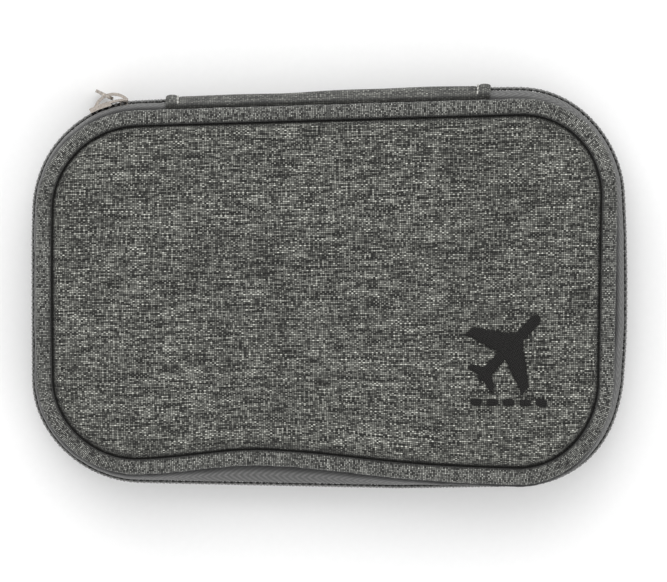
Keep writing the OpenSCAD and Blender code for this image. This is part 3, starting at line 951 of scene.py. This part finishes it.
def pocket(name, node, body, height, half, face, edge, hem=5.0, zip_slot=False):
    """A flat pocket, sewn down at its sides and foot, with a hem at its mouth, or else a zip slot
    under a sewn top. face and edge are the heights of its middle and its sewn edges."""
    back = body == "back"
    side = 1 if back else -1
    high = FOOT_Y + height
    mouth = high - hem
    x, y = pocket_grid(high, mouth, half, zip_slot)

    def from_edge(x, y):
        return np.minimum(half_width_at(y, POCKET_INSET, half) - np.abs(x), y - FOOT_Y)

    def rise(near):
        return edge + (face - edge) * smooth(near / 3.0)

    def is_cloth(row, column):
        middle = (y[row, 0] + y[row + 1, 0]) / 2
        in_slot = zip_slot and abs(middle - COIN_Y) < SLOT_HALF
        return not (in_slot and 5 <= column < x.shape[1] - 6)

    near = from_edge(x, y)
    if zip_slot:
        near = np.minimum(near, high - y)
    wave = 0.5 + 0.5 * np.sin(x / 11.0 + y / 19.0) * np.cos(y / 8.0)
    z = rise(near) - side * 0.12 * wave * smooth(near / 6.0)
    if not zip_slot:
        z = z + side * 0.22 * smooth((y - mouth) / 0.3)
        z = np.where(y > high - 0.05, z - side * 0.4, z)
    points = np.stack([*on_cover(x, y, back), z], -1)
    faces = grid_faces(*x.shape, flip=not back, keep=is_cloth)
    piece = build(name, points, faces, np.stack([x, y], -1), POCKET)
    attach(piece, body)
    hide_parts(node)
    lines = []
    for sx, sy in pocket_seams(high, mouth, half, zip_slot):
        sz = rise(from_edge(sx, sy)) + side * (0.05 + 0.2 * (sy > mouth))
        lines.append(np.stack([*on_cover(sx, sy, back), sz], 1))
    seams = stitched(name + "_seams", lines, body, SEAM_THREAD, 3.0, 0.8, 0.14, 0.1, inner=side)


def pockets():
    """Two pockets in the front cover; the coin pocket and the card slots over it in the back."""
    pocket("ticket_pocket_sheet", "ticket_pocket", "front", TICKET_H, POCKET_HALF,
           21.85, 22.45)
    pocket("passport_pocket_sheet", "passport_pocket", "front", PASSPORT_H, POCKET_HALF,
           20.6, 21.7)
    pocket("coin_pocket_sheet", "coin_pocket_panel", "back", TICKET_H, POCKET_HALF,
           4.45, 2.75, zip_slot=True)
    for level, word in enumerate(("high", "middle", "low")):
        name = "card_slot_sheet_" + word
        pocket(name, "card_slot_" + word, "back", CARD_STEP * (1 - level) - FOOT_Y, CARD_HALF,
               5.35 + 0.85 * level, 4.65 + 0.35 * level, hem=4.0)


def lining(body, back):
    """The cloth that covers the inside of one cover."""
    x, y = cover_grid(0.9, 2.5, (0, .5, 1.2, 2.4, 4.0))
    z = LINING_Z + 0.12 * np.sin(x / 12.0) * np.sin(y / 10.0)
    points = np.stack([*on_cover(x, y, back), THICK - z if back else z], -1)
    faces = grid_faces(*x.shape, flip=not back)
    piece = build(body + "_lining_sheet", points, faces, np.stack([x, y], -1), LINING)
    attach(piece, body)
    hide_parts(body + "_cover_lining")


def rim_seams(body, back):
    """The row of stitches that holds the binding and the tape, seen from inside."""
    s = np.linspace(0, PERIMETER, 400)
    z = np.full_like(s, 21.98)
    line = np.stack(rim_points(s, -3.4, THICK - z if back else z), 1)
    stitched(body + "_rim_seams", [line], body, SEAM_THREAD, radius=0.14, inner=1 if back else -1)


def coin_tape():
    """The coin zip's two strips of tape, on either side of its teeth."""
    xs = np.linspace(-COIN_HALF - 2, COIN_HALF + 2, 60)
    across = np.array([0.6, 1.5, 3.0, 4.6, 6.8])
    points, faces, uvs = [], [], []
    for side in (-1, 1):
        base = len(points)
        for x in xs:
            for k, d in enumerate(across):
                points.append((float(x), COIN_Y + side * d, 3.9 + 0.05 * math.sin(x / 6 + k)))
                uvs.append((x, d + 10 * side))
        faces += [tuple(base + v for v in f) for f in grid_faces(len(xs), len(across), flip=side > 0)]
    tape = build("coin_tape", points, faces, uvs, TAPE)
    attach(tape, "back")
    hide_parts("coin_zip_tape")


def coin_teeth():
    """The coin zip's teeth, turn about from its two sides."""
    pitch = 0.8
    shape, shape_faces = bead(0.36, 0.42, 1.15)
    points, faces, uvs = [], [], []
    for i in range(int(2 * COIN_HALF / pitch)):
        x = -COIN_HALF + 0.5 + i * pitch
        y = COIN_Y + (0.75 if i % 2 else -0.75)
        points.append(np.stack([x + shape[:, 0], y + shape[:, 2], 4.35 + shape[:, 1]], 1))
        uvs.append(np.stack([shape[:, 0], shape[:, 2]], 1))
        faces += [tuple(i * len(shape) + v for v in f) for f in shape_faces]
    coil = build("coin_coil_teeth", np.vstack(points), faces, np.vstack(uvs), COIL)
    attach(coil, "back")
    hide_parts("coin_zip_coil")


def spine_inside():
    """The lining behind the spine's cloth."""
    margin = 5.6
    xs = np.linspace(-SPINE_HALF, SPINE_HALF, 50)
    zs = np.linspace(margin, THICK - margin, 9)
    gx, gz = np.meshgrid(xs, zs)
    gy = FOLD_Y - 0.3 + 0.1 * np.sin(gx / 8.0) * np.sin(gz / 4.0)
    points = np.stack(warp(gx, gy, gz), -1)
    uvs = np.stack([gx, gz], -1)
    piece = build("spine_lining_sheet", points, grid_faces(*gx.shape), uvs, LINING)
    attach(piece, "spine")
    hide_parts("spine_lining")


def both_covers(*makers):
    """Makes each piece for the front cover and then for the back cover."""
    for make in makers:
        make("front", False)
        make("back", True)


def inside():
    both_covers(lining, rim_seams)
    pockets()
    coin_tape()
    coin_teeth()
    spine_inside()


# ---- metal ----
def metal():
    """The CAD's sliders, pulls and end stop keep their shape and get their finish."""
    for node in ("zip_slider", "zip_pull", "coin_slider", "coin_pull", "zip_end_stops"):
        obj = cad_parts[node]
        obj.data.materials.clear()
        obj.data.materials.append(DARK_METAL if node == "zip_end_stops" else METAL)


# ---- studio, in metres ----
SKY = 0.86
FLOOR_SIZE = 3.0
FLOOR_Z = -0.0004
FLOOR_CELLS = 24
CAMERA_RISE = 2.5  # the camera's height over the wallet's face
VIEW_WIDTH = 0.1788  # width of the view at that face
SENSOR = 36.0


def lamp(name, place, size, watts):
    """A square soft light that points at the wallet."""
    light = bpy.data.lights.new(name, "AREA")
    light.size = size
    light.energy = watts
    obj = bpy.data.objects.new(name, light)
    obj.location = place
    obj.rotation_euler = (-Vector(place)).to_track_quat("-Z", "Y").to_euler()
    bpy.context.scene.collection.objects.link(obj)


def studio():
    """Even light, a pale floor, and a camera straight above the front cover, turned by a degree."""
    scene = bpy.context.scene
    scene.view_settings.view_transform = "Standard"
    world = bpy.data.worlds.new("studio")
    world.use_nodes = True
    background = world.node_tree.nodes["Background"]
    background.inputs[0].default_value = (1, 1, 1, 1)
    background.inputs[1].default_value = SKY
    scene.world = world
    lamp("key", (-0.12, 0.7, 0.9), 1.1, 6.2)
    lamp("fill", (0.3, -0.7, 0.8), 1.1, 2.4)
    ticks = (np.arange(FLOOR_CELLS + 1) / FLOOR_CELLS - 0.5) * FLOOR_SIZE
    points = [(float(x), float(y), FLOOR_Z) for y in ticks for x in ticks]
    mesh = bpy.data.meshes.new("studio_floor")
    mesh.from_pydata(points, [], grid_faces(FLOOR_CELLS + 1, FLOOR_CELLS + 1))
    mesh.materials.append(floor_paper())
    ground = bpy.data.objects.new("studio_floor", mesh)
    scene.collection.objects.link(ground)
    data = bpy.data.cameras.new("camera")
    data.sensor_width = SENSOR
    data.lens = SENSOR * CAMERA_RISE / VIEW_WIDTH
    data.clip_start = 0.1
    data.clip_end = 10
    camera = bpy.data.objects.new("camera", data)
    camera.location = (0.0012, -0.0016, THICK * MM + CAMERA_RISE)
    camera.rotation_euler = (0, 0, math.radians(-0.85))
    scene.collection.objects.link(camera)
    scene.camera = camera


studio()
both_covers(cover_panel, binding, zip_tape, zip_teeth)
spine()
inside()
motif()
metal()
